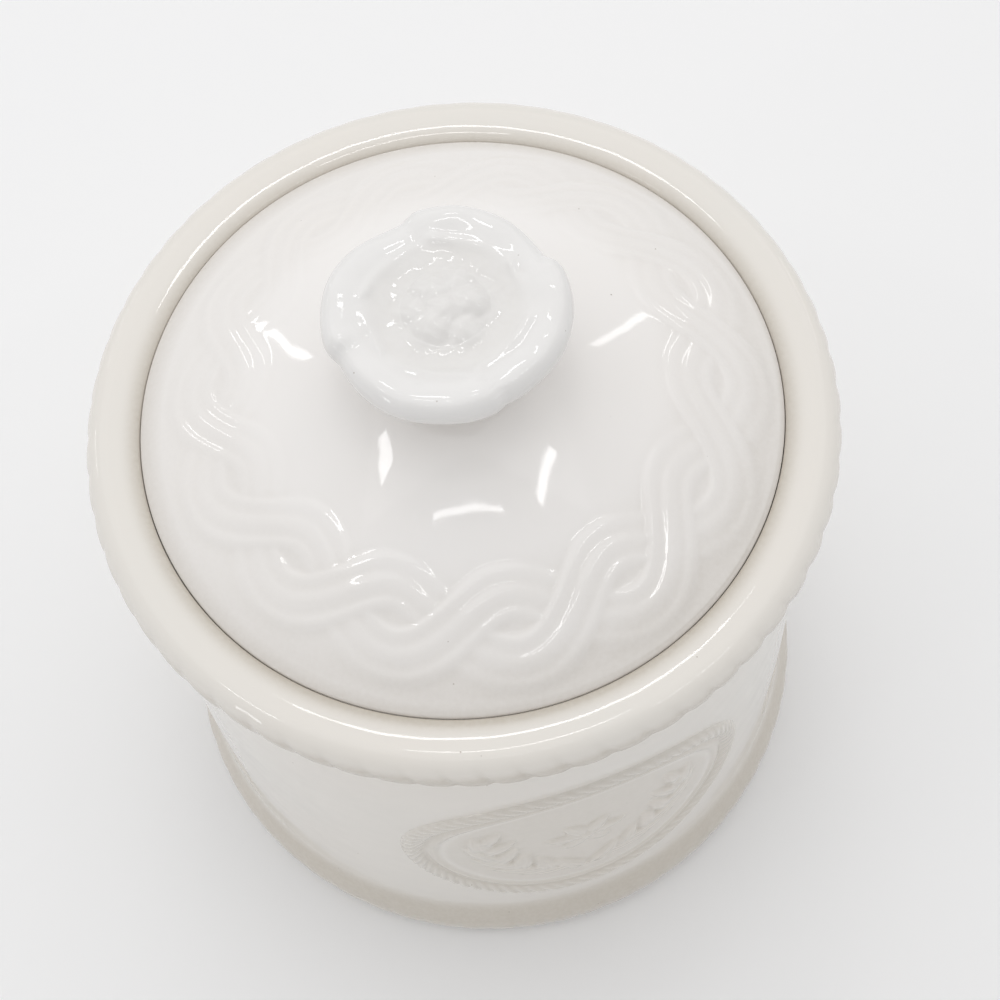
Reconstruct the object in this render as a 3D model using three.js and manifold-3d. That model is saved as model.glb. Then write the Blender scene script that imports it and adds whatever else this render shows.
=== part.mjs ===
// A lidded stoneware sugar canister: a straight-sided jar with a rope-twist rim and foot band,
// an oval rope-edged cartouche on its wall, a domed lid with a plaited band, and a rosette knob.
// Millimetres, +Z up. The origin is the centre of the foot, on the surface it stands on.

import * as THREE from 'three';
import { mergeVertices } from 'three/addons/utils/BufferGeometryUtils.js';
import Module from 'manifold-3d';

// Clearances
const seatGap = 0.3;
const wellClearance = 1;
const flangeClearance = 1.1;

// Jar wall and floor
const wallRadius = 77.4;
const wallTaper = 0.8;
const wallThickness = 5.8;
const floorThickness = 7;
const floorFillet = 10;

// Foot: the unglazed standing ring, the recess inside it and the rope band above it
const footRingInset = 2;
const footRingWidth = 8;
const footRecess = 2.5;
const footRecessSlope = 1.5;
const footHeel = 1.6;
const footBandHeight = 22;
const footBandSwell = 3.3;
const footBandWidestShare = 0.38;

// Rim: the flared rope collar, its crest and the roll down into the lid's well
const rimHeight = 145;
const rimOverhang = 5.1;
const collarHeight = 15;
const collarWidestShare = 0.66;
const crestInset = 5.3;
const crestFlat = 1.4;
const wellInset = 11.5;
const wellRollDrop = 2.4;
const wellDepth = 5.6;

// Ledge that carries the lid, and the throat under it
const ledgeWidth = 5.6;
const throatHeight = 5;
const shoulderHeight = 7;

// Rope twist on the rim and the foot
const ropeLobes = 60;
const ropeSteps = 3;
const rimRopeGroove = 1;
const rimRopeLay = 9;
const footRopeGroove = 0.5;
const footRopeLay = 7;

// Oval cartouche
const cartoucheTurn = THREE.MathUtils.degToRad(-77);
const cartoucheHeight = 68;
const cartoucheHalfWidth = 44.8;
const cartoucheHalfHeight = 38.8;
const borderWidth = 9.4;
const borderRise = 1.9;
const borderSink = 1.2;
const borderLobes = 60;
const borderSides = 4;
const borderGroove = 0.45;

// Lid
const lidLipThickness = 4.6;
const lidEdgeRound = 1;
const lidEdgeLean = THREE.MathUtils.degToRad(60);
const lidShell = 4.8;
const lidBorderRise = 1.3;
const flangeDepth = 9;
const flangeThickness = 4.6;
const flangeTaper = 0.6;
const lidUnderFillet = 6;
const lidUnderDip = 4.4;
const hollowCrownRadius = 22;
const domeRise = 28.6;
const domeSwellShare = 0.23;
const neckRadius = 11;

// Plaited band on the lid
const plaitTurn = THREE.MathUtils.degToRad(-6);
const plaitInset = 16.5;
const plaitMargin = 0.3;
const plaitSwing = 6.5;
const strandWidth = 13;
const strandRise = 0.95;
const strandCross = 0.6;
const ribDepthShare = 0.28;
const plaitCrossings = 14;
const plaitSteps = 10;
const plaitRows = 14;
const domeSteps = 4;

// Rosette knob
const knobRadius = 25.6;
const knobDepthShare = 0.955;
const knobHeight = 19.2;
const knobNeckHeight = 4;
const knobNeckTaper = 1.1;
const petalInset = 2.3;
const petalLap = 1.3;
const budRadius = 9;
const budGroove = 1.1;
const budCount = 7;
const knobSteps = 60;

// Facets round a plain turned surface, and along a quarter of a fillet
const turnedSteps = 60;
const filletSteps = 3;

// What follows from the driving sizes
const ledgeHeight = rimHeight - wellDepth;
const innerRadius = wallRadius - wallThickness;
const rimRadius = wallRadius + rimOverhang;
const crestRadius = rimRadius - crestInset;
const wellRadius = rimRadius - wellInset;
const lidRadius = wellRadius - wellClearance;
const throatRadius = wellRadius - ledgeWidth;
const lidBottom = ledgeHeight + seatGap;
const lidEdgeTop = lidBottom + lidLipThickness;
const knobSeat = lidEdgeTop + domeRise;
const flangeRadius = throatRadius - flangeClearance;
const plaitRadius = lidRadius - plaitInset;
const plaitReach = plaitSwing + strandWidth / 2;
const domeStart = plaitRadius + plaitReach + plaitMargin;
const fullTurn = 2 * Math.PI;

// The rounded groove between two lobes of a rope, 1 in the groove and 0 on the ridge.
function groove(share) {
  return Math.pow(1 - Math.abs(Math.sin(Math.PI * share)), 1.5);
}

// A ring of points round the axis. place(angle) gives [radius, height]; turn shears the ring round.
function ring(count, turn, place) {
  const points = [];
  for (let i = 0; i < count; i += 1) {
    const angle = (i / count) * fullTurn;
    const [radius, height] = place(angle);
    points.push(new THREE.Vector3(
      radius * Math.cos(angle + turn),
      radius * Math.sin(angle + turn),
      height,
    ));
  }
  return points;
}

// A plain ring of one radius and one height.
function plainRing(count, turn, radius, height) {
  return ring(count, turn, () => [radius, height]);
}

// The single point where a turned form crosses its axis.
function pole(height) {
  return [new THREE.Vector3(0, 0, height)];
}

// Facets between a ring and the next one along the outline. Where one ring has several times as
// many points as the other, each coarse step is met by a fan.
function bridge(lower, upper, lowerStart, upperStart, faces) {
  const flipped = lower.length < upper.length;
  const fine = flipped ? upper : lower;
  const coarse = flipped ? lower : upper;
  const fineStart = flipped ? upperStart : lowerStart;
  const coarseStart = flipped ? lowerStart : upperStart;
  const fanout = fine.length / coarse.length;
  const add = (a, b, c) => (flipped ? faces.push(a, c, b) : faces.push(a, b, c));
  if (coarse.length === 1) {
    for (let i = 0; i < fine.length; i += 1) {
      add(fineStart + i, fineStart + ((i + 1) % fine.length), coarseStart);
    }
    return;
  }
  const middle = Math.ceil(fanout / 2);
  for (let j = 0; j < coarse.length; j += 1) {
    const here = coarseStart + j;
    const next = coarseStart + ((j + 1) % coarse.length);
    const at = (i) => fineStart + ((j * fanout + i) % fine.length);
    for (let i = 0; i < fanout; i += 1) {
      add(at(i), at(i + 1), i < middle ? here : next);
    }
    add(at(middle), next, here);
  }
}

// A closed solid through rings that follow the outline from one pole to the other.
function turnedSolid(rings) {
  const positions = [];
  const starts = [];
  const faces = [];
  for (const points of rings) {
    starts.push(positions.length / 3);
    for (const point of points) positions.push(point.x, point.y, point.z);
  }
  for (let i = 0; i + 1 < rings.length; i += 1) {
    bridge(rings[i], rings[i + 1], starts[i], starts[i + 1], faces);
  }
  const geometry = new THREE.BufferGeometry();
  geometry.setAttribute('position', new THREE.Float32BufferAttribute(positions, 3));
  geometry.setIndex(faces);
  return geometry;
}

// How deep the rope's grooves are cut in each row of rings, from the foot of a band to its head. The
// rim's grooves die out above its widest line.
const rimGrooveShares = [0.75, 1, 0.5, 0, 0];
const footGrooveShares = [0.7, 1, 0.9, 0.5, 0];

// A rope band with lobes that lie slantwise. It runs from a low seat to a high one, bulges to the
// widest radius between them, and turns its lobes on from startTurn. Its lower part is round in
// section, and so is its head, unless soft lets the head run smoothly into the wall.
function ropeBand({ low, high, widest, widestShare, soft, depth, depthShares, lay, startTurn }) {
  const rings = [];
  const middle = THREE.MathUtils.lerp(low.height, high.height, widestShare);
  depthShares.forEach((depthShare, row) => {
    const share = (row + 1) / (depthShares.length + 1);
    const lean = share * Math.PI - Math.PI / 2;
    const seat = THREE.MathUtils.lerp(low.radius, high.radius, share);
    const span = lean < 0 ? middle - low.height : high.height - middle;
    const eased = soft && lean > 0;
    const climb = eased ? lean / (Math.PI / 2) : Math.sin(lean);
    const bulge = eased ? Math.cos(lean) ** 2 : Math.cos(lean);
    const count = depthShare > 0 ? ropeLobes * ropeSteps : turnedSteps;
    const turn = startTurn - (lay * share) / widest;
    rings.push(ring(count, turn, (angle) => {
      const sink = depth * depthShare * groove((angle / fullTurn) * ropeLobes);
      return [seat + (widest - seat) * bulge - sink, middle + climb * span];
    }));
  });
  return rings;
}

// The rim's inner roll: a quarter of an ellipse, from the crest in and down to the well's wall.
function rollRings(count, turn) {
  const rings = [];
  const width = crestRadius - crestFlat - wellRadius;
  for (let i = 0; i <= filletSteps; i += 1) {
    const bend = (i / filletSteps) * (Math.PI / 2);
    const drop = wellRollDrop * (1 - Math.cos(bend));
    rings.push(plainRing(count, turn, wellRadius + width * (1 - Math.sin(bend)), rimHeight - drop));
  }
  return rings;
}

// Quarter circle of an inside fillet, from the wall down to the floor.
function filletRings(count, turn, radius, floor, fillet) {
  const rings = [];
  for (let i = 0; i <= filletSteps; i += 1) {
    const bend = (i / filletSteps) * (Math.PI / 2);
    const out = radius - fillet + fillet * Math.cos(bend);
    rings.push(plainRing(count, turn, out, floor + fillet - fillet * Math.sin(bend)));
  }
  return rings;
}

const wasm = await Module();
wasm.setup();

function toManifold(geometry) {
  const bare = mergeVertices(geometry);
  return new wasm.Manifold(new wasm.Mesh({
    numProp: 3,
    vertProperties: new Float32Array(bare.attributes.position.array),
    triVerts: new Uint32Array(bare.index.array),
  }));
}

function toGeometry(solid) {
  const mesh = solid.getMesh();
  const geometry = new THREE.BufferGeometry();
  geometry.setAttribute('position', new THREE.BufferAttribute(mesh.vertProperties, 3));
  geometry.setIndex(new THREE.BufferAttribute(mesh.triVerts, 1));
  return geometry;
}

// Jar: from the recess under the foot, out and up the wall, over the rim and down inside.
function jarShell() {
  const wallFoot = wallRadius - wallTaper;
  const footOuter = wallFoot - footRingInset;
  const footInner = footOuter - footRingWidth;
  const collarFoot = rimHeight - collarHeight;
  const shoulder = ledgeHeight - throatHeight - shoulderHeight;
  const footWidest = wallFoot + footBandSwell;
  const footTurn = -footRopeLay / footWidest;
  const rimTurn = footTurn - rimRopeLay / rimRadius;
  const footBand = ropeBand({
    low: { radius: wallFoot, height: footHeel },
    high: { radius: wallFoot, height: footBandHeight },
    widest: footWidest,
    widestShare: footBandWidestShare,
    soft: true,
    depth: footRopeGroove,
    depthShares: footGrooveShares,
    lay: footRopeLay,
    startTurn: 0,
  });
  const collar = ropeBand({
    low: { radius: wallRadius, height: collarFoot },
    high: { radius: crestRadius, height: rimHeight },
    widest: rimRadius,
    widestShare: collarWidestShare,
    soft: false,
    depth: rimRopeGroove,
    depthShares: rimGrooveShares,
    lay: rimRopeLay,
    startTurn: footTurn,
  });
  return turnedSolid([
    pole(footRecess),
    plainRing(turnedSteps, 0, footInner - footRecessSlope, footRecess),
    plainRing(turnedSteps, 0, footInner, 0),
    plainRing(turnedSteps, 0, footOuter, 0),
    plainRing(turnedSteps, 0, wallFoot, footHeel),
    ...footBand,
    plainRing(turnedSteps, footTurn, wallFoot, footBandHeight),
    plainRing(turnedSteps, footTurn, wallRadius, collarFoot),
    ...collar,
    plainRing(turnedSteps, rimTurn, crestRadius, rimHeight),
    ...rollRings(turnedSteps, rimTurn),
    plainRing(turnedSteps, rimTurn, wellRadius, ledgeHeight),
    plainRing(turnedSteps, rimTurn, throatRadius, ledgeHeight),
    plainRing(turnedSteps, rimTurn, throatRadius, ledgeHeight - throatHeight),
    plainRing(turnedSteps, rimTurn, innerRadius, shoulder),
    ...filletRings(turnedSteps, rimTurn, innerRadius, floorThickness, floorFillet),
    pole(floorThickness),
  ]);
}

// The cartouche's border: a half-round rope bead carried along an oval that is wrapped on the wall.
function cartoucheBorder() {
  const oval = ropeOval();
  const section = [];
  for (let i = 0; i <= borderSides; i += 1) {
    const bend = (i / borderSides) * Math.PI;
    section.push([Math.cos(bend) * (borderWidth / 2), Math.sin(bend)]);
  }
  const positions = [];
  const faces = [];
  const ringSize = section.length + 2;
  oval.forEach(({ along, up, outAlong, outUp, ridge }) => {
    const put = (across, rise) => {
      const turn = cartoucheTurn + (along + outAlong * across) / wallRadius;
      const height = cartoucheHeight + up + outUp * across;
      const radius = wallRadiusAt(height) + rise;
      positions.push(radius * Math.cos(turn), radius * Math.sin(turn), height);
    };
    for (const [across, lift] of section) put(across, lift * ridge);
    put(-borderWidth / 2, -borderSink);
    put(borderWidth / 2, -borderSink);
  });
  const count = oval.length;
  for (let i = 0; i < count; i += 1) {
    for (let j = 0; j < ringSize; j += 1) {
      const a = i * ringSize + j;
      const b = i * ringSize + ((j + 1) % ringSize);
      const c = ((i + 1) % count) * ringSize + j;
      const d = ((i + 1) % count) * ringSize + ((j + 1) % ringSize);
      faces.push(a, b, c, b, d, c);
    }
  }
  const geometry = new THREE.BufferGeometry();
  geometry.setAttribute('position', new THREE.Float32BufferAttribute(positions, 3));
  geometry.setIndex(faces);
  return geometry;
}

// The wall leans in a little towards the foot.
function wallRadiusAt(height) {
  const top = rimHeight - collarHeight;
  const share = (height - footBandHeight) / (top - footBandHeight);
  return wallRadius - wallTaper * (1 - share);
}

// Stations on the border's centre line, with the outward direction in the wall's own surface.
function ropeOval() {
  const halfWidth = cartoucheHalfWidth - borderWidth / 2;
  const halfHeight = cartoucheHalfHeight - borderWidth / 2;
  const count = borderLobes * 2;
  const stations = [];
  for (let i = 0; i < count; i += 1) {
    const angle = (i / count) * fullTurn;
    const outAlong = Math.cos(angle) * halfHeight;
    const outUp = Math.sin(angle) * halfWidth;
    const length = Math.hypot(outAlong, outUp);
    stations.push({
      along: Math.cos(angle) * halfWidth,
      up: Math.sin(angle) * halfHeight,
      outAlong: outAlong / length,
      outUp: outUp / length,
      ridge: i % 2 === 0 ? borderRise : borderRise - borderGroove,
    });
  }
  return stations;
}

function canisterBody() {
  const shell = toManifold(jarShell());
  const border = toManifold(cartoucheBorder());
  return toGeometry(shell.add(border));
}

// The dome climbs from the border to the neck as a parabola that swells over the straight line.
function domeHeight(radius) {
  const low = lidEdgeTop + lidBorderRise;
  const run = (domeStart - radius) / (domeStart - neckRadius);
  return low + (knobSeat - low) * (run + domeSwellShare * run * (1 - run));
}

// The plait is two ribbed strands that swing between an inner and an outer circle and pass over
// each other in turn. The strand that runs inwards is always the upper one.
function plaitLift(angle, radius) {
  const waves = plaitCrossings / 2;
  let lift = 0;
  for (const phase of [0, Math.PI]) {
    const swing = waves * angle + phase;
    const middle = plaitRadius + plaitSwing * Math.cos(swing);
    const slope = (plaitSwing * waves * Math.sin(swing)) / plaitRadius;
    const offset = (radius - middle) / Math.sqrt(1 + slope * slope);
    const share = Math.min(1, Math.abs((2 * offset) / strandWidth));
    const body = Math.sqrt(1 - Math.pow(share, 4));
    const rib = Math.abs(Math.cos(1.5 * Math.PI * share));
    const rise = strandRise + strandCross * Math.sin(swing);
    lift = Math.max(lift, rise * body * (1 - ribDepthShare * (1 - rib)));
  }
  return lift;
}

// Rings across the plait. Each ring is turned to follow the upper strands, so that the facets run
// along their ribs.
function plaitRings() {
  const rings = [];
  for (let row = 0; row <= plaitRows; row += 1) {
    const radius = plaitRadius + plaitReach * Math.cos((row / plaitRows) * Math.PI);
    const swing = THREE.MathUtils.clamp((radius - plaitRadius) / plaitSwing, -1, 1);
    const turn = Math.acos(swing) / (plaitCrossings / 2);
    rings.push(ring(plaitCrossings * plaitSteps, turn, (angle) => {
      const lift = plaitLift(angle + turn, radius);
      return [radius, domeHeight(radius) + lift];
    }));
  }
  return rings;
}

// The lid's edge, from the face that rests on the ledge, round its lower corner, up its side and
// round its upper corner until it leans as the dome does.
function lidEdgeRings(count) {
  const middle = lidRadius - lidEdgeRound;
  const rings = [];
  const corner = (centre, from, to) => {
    for (let i = 0; i <= filletSteps; i += 1) {
      const lean = THREE.MathUtils.lerp(from, to, i / filletSteps);
      const radius = middle + lidEdgeRound * Math.cos(lean);
      rings.push(plainRing(count, 0, radius, centre + lidEdgeRound * Math.sin(lean)));
    }
  };
  corner(lidBottom + lidEdgeRound, -Math.PI / 2, 0);
  corner(lidEdgeTop - lidEdgeRound, 0, lidEdgeLean);
  return rings;
}

// Plain rings of the dome between two radii. drop lowers them, for the hollow underneath.
function domeRings(count, turn, from, to, drop) {
  const rings = [];
  for (let i = 0; i <= domeSteps; i += 1) {
    const radius = THREE.MathUtils.lerp(from, to, i / domeSteps);
    rings.push(plainRing(count, turn, radius, domeHeight(radius) - drop));
  }
  return rings;
}

// Lid: from the middle of its hollow, out and down the locating flange, round the edge that rests on
// the ledge, over the plait and up the dome to the knob's seat.
function lidSolid() {
  const fine = plaitCrossings * plaitSteps;
  const plain = fine / 2;
  const flangeInner = flangeRadius - flangeThickness;
  const flangeFoot = lidBottom - flangeDepth;
  const crown = domeHeight(neckRadius) - lidShell - lidUnderDip;
  const innerTurn = Math.PI / (plaitCrossings / 2);
  const hollowEnd = flangeInner - lidUnderFillet;
  const [, ...domeTop] = domeRings(
    plain, innerTurn, plaitRadius - plaitReach, neckRadius, 0,
  );
  const lid = turnedSolid([
    pole(crown),
    ...domeRings(plain, 0, hollowCrownRadius, hollowEnd, lidShell),
    plainRing(plain, 0, flangeInner, lidBottom),
    plainRing(plain, 0, flangeInner, flangeFoot),
    plainRing(plain, 0, flangeRadius - flangeTaper, flangeFoot),
    plainRing(plain, 0, flangeRadius, lidBottom),
    ...lidEdgeRings(plain),
    plainRing(fine, 0, domeStart, lidEdgeTop + lidBorderRise),
    ...plaitRings(),
    ...domeTop,
    pole(knobSeat),
  ]);
  return lid.rotateZ(plaitTurn);
}

// Rosette knob: a neck, a ring of lapped petals that roll over at the edge, a dish and a bud. Each
// petal comes out from under the one before it, lower and further in, and widens along its length.
// The whole knob is a little narrower from front to back.
// Each row is [share of the knob's radius, share of its height above the neck, how far the petals
// shape it].
const rosetteShares = [
  [0.5, 0.04, 0.1],
  [0.76, 0.16, 0.6],
  [0.93, 0.36, 1],
  [1, 0.61, 1],
  [0.975, 0.77, 1],
  [0.9, 0.86, 1],
  [0.79, 0.85, 0.8],
  [0.6, 0.77, 0.35],
  [0.42, 0.73, 0],
];

// Where each petal laps over the next, as shares of a full turn.
const petalEdgeShares = [0.065, 0.292, 0.55, 0.81];

// How far along its petal an angle lies, 0 where the petal comes out from under the one before it.
function petalShare(angle) {
  const share = angle / fullTurn;
  const last = petalEdgeShares.length - 1;
  let i = last;
  while (i >= 0 && petalEdgeShares[i] > share) i -= 1;
  const start = i < 0 ? petalEdgeShares[last] - 1 : petalEdgeShares[i];
  const end = i === last ? petalEdgeShares[0] + 1 : petalEdgeShares[i + 1];
  return (share - start) / (end - start);
}

// The bud's rows are [share of its radius, share of the height above the neck].
const budShares = [
  [1, 0.8],
  [0.9, 0.91],
  [0.62, 0.94],
  [0.45, 0.89],
  [0.3, 0.96],
];

function rosetteKnob() {
  const base = knobSeat + seatGap;
  const headBase = base + knobNeckHeight;
  const headHeight = knobHeight - knobNeckHeight;
  const rings = [
    pole(base),
    plainRing(knobSteps, 0, neckRadius, base),
    plainRing(knobSteps, 0, neckRadius - knobNeckTaper, headBase),
  ];
  for (const [outShare, upShare, shaping] of rosetteShares) {
    rings.push(ring(knobSteps, 0, (angle) => {
      const lap = petalShare(angle);
      const inset = petalInset * Math.pow(1 - lap, 2);
      const radius = knobRadius * outShare - inset * shaping;
      const height = headBase + headHeight * upShare + petalLap * (lap - 1) * shaping;
      return [radius, height];
    }));
  }
  for (const [outShare, upShare] of budShares) {
    rings.push(ring(knobSteps, 0, (angle) => {
      const lobe = budGroove * groove((angle / fullTurn) * budCount);
      return [(budRadius - lobe) * outShare, headBase + headHeight * upShare];
    }));
  }
  rings.push(pole(base + knobHeight));
  const knob = turnedSolid(rings);
  return knob.scale(1, knobDepthShare, 1);
}

function glazed(name, geometry, colour) {
  const material = new THREE.MeshStandardMaterial({ color: colour, roughness: 0.08, metalness: 0 });
  const mesh = new THREE.Mesh(geometry, material);
  mesh.name = name;
  return mesh;
}

const canister = new THREE.Group();
canister.add(glazed('canister_body', canisterBody(), 0xe8e3da));
canister.add(glazed('lid', lidSolid(), 0xebe8e4));
canister.add(glazed('rosette_knob', rosetteKnob(), 0xeeece9));

export default canister;
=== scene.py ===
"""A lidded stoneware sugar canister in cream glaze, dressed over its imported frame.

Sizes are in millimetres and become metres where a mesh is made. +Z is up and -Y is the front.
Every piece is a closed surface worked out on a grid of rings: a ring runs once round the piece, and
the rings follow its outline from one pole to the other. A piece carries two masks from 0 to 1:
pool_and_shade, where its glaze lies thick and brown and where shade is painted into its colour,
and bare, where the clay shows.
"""

import bpy
import numpy as np
from mathutils import Matrix, Vector


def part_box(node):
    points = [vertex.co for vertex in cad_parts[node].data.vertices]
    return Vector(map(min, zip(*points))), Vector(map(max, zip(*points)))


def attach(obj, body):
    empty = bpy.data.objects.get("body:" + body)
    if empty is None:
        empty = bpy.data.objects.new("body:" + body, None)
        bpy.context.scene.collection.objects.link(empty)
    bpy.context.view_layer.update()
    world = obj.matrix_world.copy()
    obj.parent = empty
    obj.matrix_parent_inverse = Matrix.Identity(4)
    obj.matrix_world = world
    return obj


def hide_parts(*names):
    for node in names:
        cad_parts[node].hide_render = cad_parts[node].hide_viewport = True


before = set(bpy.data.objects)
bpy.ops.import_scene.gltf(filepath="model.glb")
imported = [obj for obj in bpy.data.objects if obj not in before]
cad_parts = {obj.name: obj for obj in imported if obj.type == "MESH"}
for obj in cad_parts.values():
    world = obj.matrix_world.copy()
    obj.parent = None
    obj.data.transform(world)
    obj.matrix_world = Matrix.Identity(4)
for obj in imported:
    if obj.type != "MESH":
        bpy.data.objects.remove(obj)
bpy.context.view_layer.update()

MM = 0.001
FULL_TURN = 2 * np.pi


def box_mm(node):
    """Lowest and highest corner of a node of the frame, in millimetres."""
    low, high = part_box(node)
    return np.array(low) / MM, np.array(high) / MM


body_low, body_high = box_mm("canister_body")
lid_low, lid_high = box_mm("lid")
knob_low, knob_high = box_mm("rosette_knob")

# Turned outlines
POLE_RADIUS = 4
COARSE_SPACING = 12

# Jar, foot and rim
RIM_RADIUS = (body_high[0] - body_low[0]) / 2
RIM_TOP = body_high[2]
WALL_RADIUS = 77.4
WALL_FOOT_RADIUS = 76.6
WALL_THICKNESS = 5.8
FLOOR_TOP = 7
FLOOR_FILLET = 10
FOOT_RECESS = 2.5
FOOT_RECESS_RADIUS = 65.1
FOOT_RING_INNER = 66.6
FOOT_RING_OUTER = 74.6
FOOT_HEEL = 1.6
FOOT_BAND_TOP = 22
FOOT_BAND_RADIUS = 79.8
FOOT_WIDEST_SHARE = 0.38
COLLAR_FOOT = 130
COLLAR_WIDEST_SHARE = 0.66
CREST_RADIUS = 77.2
CREST_FLAT = 1.4
SEAT_HEIGHT = 143.2
ROLL_STEPS = 14
LEDGE = 139.4
THROAT_RADIUS = 65.4
THROAT_FOOT = 134.4
SHOULDER = 127.4

# Rope twist
ROPE_LOBES = 60
LOBE_COLUMNS = 10
ROPE_ROWS = 31
RIM_GROOVE = 0.65
RIM_ROPE_LAY = 9
RIM_GROOVE_END = 0.86
FOOT_GROOVE = 0.25
FOOT_ROPE_LAY = 7
FOOT_GROOVE_END = 0.9
GROOVE_FADE = 0.4

# Cartouche
CARTOUCHE_ROWS = 118
CARTOUCHE_MIDDLE_SHARE = 0.012
CARTOUCHE_BACK_ROWS = 8
CARTOUCHE_BACK_DEPTH = 1.6
CARTOUCHE_TURN = np.radians(-77)
CARTOUCHE_HEIGHT = 68
CARTOUCHE_HALF_WIDTH = 44.8
CARTOUCHE_HALF_HEIGHT = 38.8
BORDER_WIDTH = 9.4
ROPE_WIDTH = 5.4
BORDER_TICKS = 72
TICK_COLUMNS = 8
TICK_RISE = 0.38
BEAD_GAP = 0.3
BEAD_RISE = 0.6
SPRAY_RISE = 1.1

# Lid
LID_RADIUS = (lid_high[0] - lid_low[0]) / 2
SEAT_GAP = 0.15
SEAT_RADIUS = LID_RADIUS + SEAT_GAP
LID_BOTTOM = 139.7
LID_EDGE_TOP = 144.3
LID_EDGE_ROUND = 1
LID_EDGE_LEAN = np.radians(60)
LID_BORDER_RISE = 1.3
LID_BORDER_FALL = 1.7
LID_SHELL = 4.8
HOLLOW_CROWN_RADIUS = 22
FLANGE_RADIUS = 64.3
FLANGE_INNER = 59.7
NECK_RADIUS = 11
DOME_START = 66.8
DOME_SWELL_SHARE = 0.23

# Plait on the lid
PLAIT_TURN = np.radians(-6)
PLAIT_RADIUS = 53.5
PLAIT_SWING = 6.5
PLAIT_ROWS = 90
PLAIT_DRIFT = 1.6
PLAIT_DRIFT_TURN = np.radians(225)
PLAIT_LATE_DEGREES = 2.2
PLAIT_EARLY_DEGREES = 0.6
PLAIT_LATE_TURN = np.radians(262)
PLAIT_SHIFT = 2.5
PLAIT_SHIFT_TURN = np.radians(322)
STRAND_WIDTH = 13.5
STRAND_RISE = 0.78
STRAND_CROSS = 0.3
STRAND_BLEND = 0.15
RIB_DEPTH_SHARE = 0.33
PRESS_TURN = np.radians(300)
PRESS_MEAN = 0.66
PRESS_SWING = 0.34
INNER_WEAR = 0.35
CROSSINGS = 14
CROSSING_COLUMNS = 42

# Rosette knob
KNOB_RADIUS = 25.4
KNOB_DEPTH_SHARE = 0.955
KNOB_NECK_HEIGHT = 4
PETAL_INSET = 1.6
PETAL_LAP = 1.0
BUD_RADIUS = 9.5
BUD_SWELL = 1.6
BUD_RISE = 2.0
KNOB_COLUMNS = 480
KNOB_OUTLINE_ROWS = 96
KNOB_DISH_ROWS = 44
KNOB_MIDDLE_SHARE = 0.008
KNOB_TUCK = 1.1

# How far the glaze pools, and how much shade is painted into its colour, in each place, from 0 to 1
GROOVE_POOL_AND_SHADE = 0.6
FOOT_BAND_DARKENING = 0.75
FOLD_POOL_AND_SHADE = 0.4
RIM_EDGE_SHADE = 0.85
WELL_SHADE = 0.78
WELL_SHADE_SWING = 0.22
BORDER_POOL_AND_SHADE = 0.42
BORDER_HOLLOW_POOL_AND_SHADE = 0.4
FIELD_DARKENING = 0.35
FIELD_HOLLOW_POOL_AND_SHADE = 0.3
PLAIT_HOLLOW_POOL_AND_SHADE = 0.6
OUTER_DOME_DARKENING = 0.17
FRONT_BORDER_SHADE = 0.4
NECK_POOL_AND_SHADE = 0.45
LID_LIP_POOL = 0.5
LID_UNDER_EDGE_SHADE = 0.6
PETAL_HOLLOW_POOL_AND_SHADE = 0.5
KNOB_SKIRT_SHADE = 0.7
KNOB_DISH_POOL = 0.2


def smooth_step(share):
    """3s squared less 2s cubed, with s held between 0 and 1."""
    s = np.clip(share, 0, 1)
    return s * s * (3 - 2 * s)


def smooth_max(a, b, blend):
    """The larger of two heights, rounded over about the blend's width where they meet."""
    return np.logaddexp(a / blend, b / blend) * blend


def smooth_curve(x, xs, ys):
    """A cubic through the points, whose slope at each is the mean slope of its two neighbours."""
    xs, ys = np.asarray(xs, float), np.asarray(ys, float)
    slopes = np.gradient(ys, xs)
    i = np.clip(np.searchsorted(xs, x, side="right") - 1, 0, len(xs) - 2)
    step = xs[i + 1] - xs[i]
    t = (x - xs[i]) / step
    start = ys[i] * (1 + 2 * t) * (1 - t) ** 2 + slopes[i] * step * t * (1 - t) ** 2
    end = ys[i + 1] * t * t * (3 - 2 * t) + slopes[i + 1] * step * t * t * (t - 1)
    return start + end


def rounded_outline(corners, steps=6, spacing=5):
    """An outline of (radius, height, rounding) corners. A rounded corner is a quadratic curve that
    leaves and meets the straight runs at that distance from the corner. Long runs are divided."""
    points = [np.array(corners[0][:2], float)]
    for before, (radius, height, rounding), after in zip(corners, corners[1:], corners[2:]):
        corner = np.array([radius, height], float)
        if rounding == 0:
            points.append(corner)
            continue
        back = np.array(before[:2]) - corner
        on = np.array(after[:2]) - corner
        start = corner + back / np.linalg.norm(back) * rounding
        end = corner + on / np.linalg.norm(on) * rounding
        for t in np.linspace(0, 1, steps):
            points.append((1 - t) ** 2 * start + 2 * t * (1 - t) * corner + t * t * end)
    points.append(np.array(corners[-1][:2], float))
    filled = [points[0][None]]
    for a, b in zip(points, points[1:]):
        parts = max(1, int(np.ceil(np.linalg.norm(b - a) / spacing)))
        share = np.linspace(0, 1, parts + 1)[1:, None]
        filled.append(a + (b - a) * share)
    return np.concatenate(filled)


def blurred(field, rows, columns):
    """Mean of a field over a window of so many rows and columns each way, twice over, which is
    close to a bell-shaped blur. Columns run on round the ring; the outer rows are repeated."""
    for _ in range(2):
        padded = np.pad(field, ((rows, rows), (0, 0)), mode="edge")
        total = np.cumsum(np.pad(padded, ((1, 0), (0, 0))), axis=0)
        field = (total[2 * rows + 1:] - total[:-2 * rows - 1]) / (2 * rows + 1)
        padded = np.pad(field, ((0, 0), (columns, columns)), mode="wrap")
        total = np.cumsum(np.pad(padded, ((0, 0), (1, 0))), axis=1)
        field = (total[:, 2 * columns + 1:] - total[:, :-2 * columns - 1]) / (2 * columns + 1)
    return field


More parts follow.
